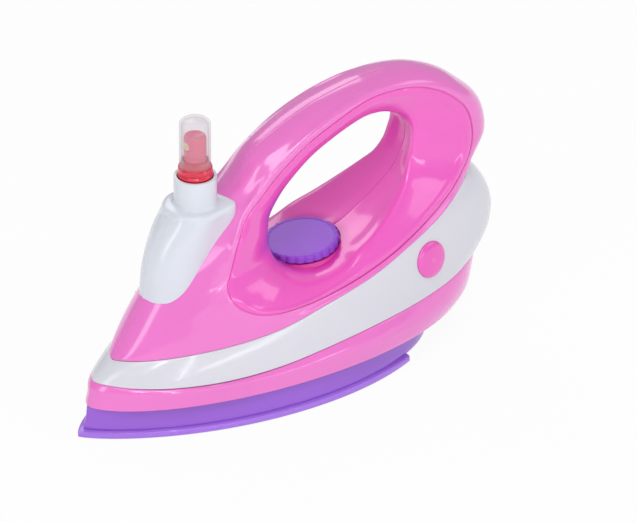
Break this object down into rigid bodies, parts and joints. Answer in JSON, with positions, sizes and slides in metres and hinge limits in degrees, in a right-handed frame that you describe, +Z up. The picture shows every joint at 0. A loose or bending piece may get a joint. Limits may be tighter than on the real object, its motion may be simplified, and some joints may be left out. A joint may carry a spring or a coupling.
{
  "type": "toy steam iron",
  "caption": "Toy iron with a closed loop handle, a water sprayer under a clear cap, a turning dial on the deck, a press button on the side and a battery bay in the sole.",
  "frame": {"origin": "middle of the footprint of the whole part, on the plane of the sole", "axes": "+X towards the nose, +Y towards the side with the press button, +Z up"},
  "size_m": [0.2164, 0.078, 0.1379],
  "materials": {
    "soleplate": "glossy moulded",
    "base_tray": "glossy moulded",
    "chassis_plate": "plain moulded",
    "lower_skirt": "glossy moulded",
    "white_band": "glossy moulded",
    "upper_shell_left": "glossy moulded",
    "upper_shell_right": "glossy moulded",
    "grip_liner_left": "glossy moulded",
    "grip_liner_right": "glossy moulded",
    "spray_hood": "glossy moulded",
    "water_tank": "translucent blown bottle",
    "pump_collar": "glossy moulded",
    "pump_cylinder": "natural plastic",
    "pump_gasket": "soft seal",
    "dip_tube": "natural plastic",
    "pump_spring": "drawn wire",
    "spray_actuator": "translucent tinted",
    "nozzle_insert": "plain moulded",
    "clear_cap": "clear moulded",
    "dial_seat": "glossy moulded",
    "scalloped_dial": "glossy moulded",
    "click_wheel": "natural plastic",
    "click_spring": "spring strip",
    "side_button": "glossy moulded",
    "button_spring": "drawn wire",
    "push_switch": "plain moulded",
    "switch_mount": "plain moulded",
    "battery_box": "plain moulded",
    "battery_cells": "printed sleeve",
    "battery_contacts": "plated sheet",
    "battery_springs": "drawn wire",
    "battery_door": "glossy moulded",
    "door_screw": "plated",
    "circuit_board": "coated laminate",
    "board_components": "moulded",
    "speaker": "paper and steel",
    "speaker_clamp": "plain moulded",
    "sole_screws": "plated",
    "housing_screws": "plated"
  },
  "bodies": {
    "housing": {"soleplate": "soleplate", "base_tray": "base_tray", "chassis_plate": "chassis_plate", "lower_skirt": "lower_skirt", "white_band": "white_band", "upper_shell_left": "upper_shell_left", "upper_shell_right": "upper_shell_right", "grip_liner_left": "grip_liner_left", "grip_liner_right": "grip_liner_right", "spray_hood": "spray_hood", "water_tank": "water_tank", "pump_collar": "pump_collar", "pump_cylinder": "pump_cylinder", "pump_gasket": "pump_gasket", "dip_tube": "dip_tube", "pump_spring": "pump_spring", "dial_seat": "dial_seat", "click_spring": "click_spring", "button_spring": "button_spring", "push_switch": "push_switch", "switch_mount": "switch_mount", "battery_box": "battery_box", "battery_cells": "battery_cells", "battery_contacts": "battery_contacts", "battery_springs": "battery_springs", "circuit_board": "circuit_board", "board_components": "board_components", "speaker": "speaker", "speaker_clamp": "speaker_clamp", "sole_screws": "sole_screws", "housing_screws": "housing_screws"},
    "dial": {"scalloped_dial": "scalloped_dial", "click_wheel": "click_wheel"},
    "spray_head": {"spray_actuator": "spray_actuator", "nozzle_insert": "nozzle_insert"},
    "cap": {"clear_cap": "clear_cap"},
    "button": {"side_button": "side_button"},
    "door": {"battery_door": "battery_door"},
    "door_fastener": {"door_screw": "door_screw"}
  },
  "joints": [
    {"name": "dial_turn", "type": "hinge", "parent": "housing", "child": "dial", "pos_m": [-0.00975, 0, 0.0612], "axis": [0.1045, 0, 0.9945], "continuous": true},
    {"name": "spray_press", "type": "slide", "parent": "housing", "child": "spray_head", "axis": [0, 0, -1], "range_m": [0, 0.0045], "stiffness_N_per_m": 900, "springref_m": -0.004, "deforming": ["pump_spring"]},
    {"name": "cap_lift", "type": "slide", "parent": "housing", "child": "cap", "axis": [0, 0, 1], "range_m": [0, 0.03]},
    {"name": "button_press", "type": "slide", "parent": "housing", "child": "button", "axis": [0.1675, -0.9755, -0.1429], "range_m": [0, 0.0015], "stiffness_N_per_m": 800, "springref_m": -0.002, "deforming": ["button_spring"]},
    {"name": "door_lift_out", "type": "slide", "parent": "housing", "child": "door", "axis": [0, 0, -1], "range_m": [0, 0.015]},
    {"name": "door_screw_draw", "type": "slide", "parent": "door", "child": "door_fastener", "axis": [0, 0, -1], "range_m": [0, 0.012]}
  ]
}
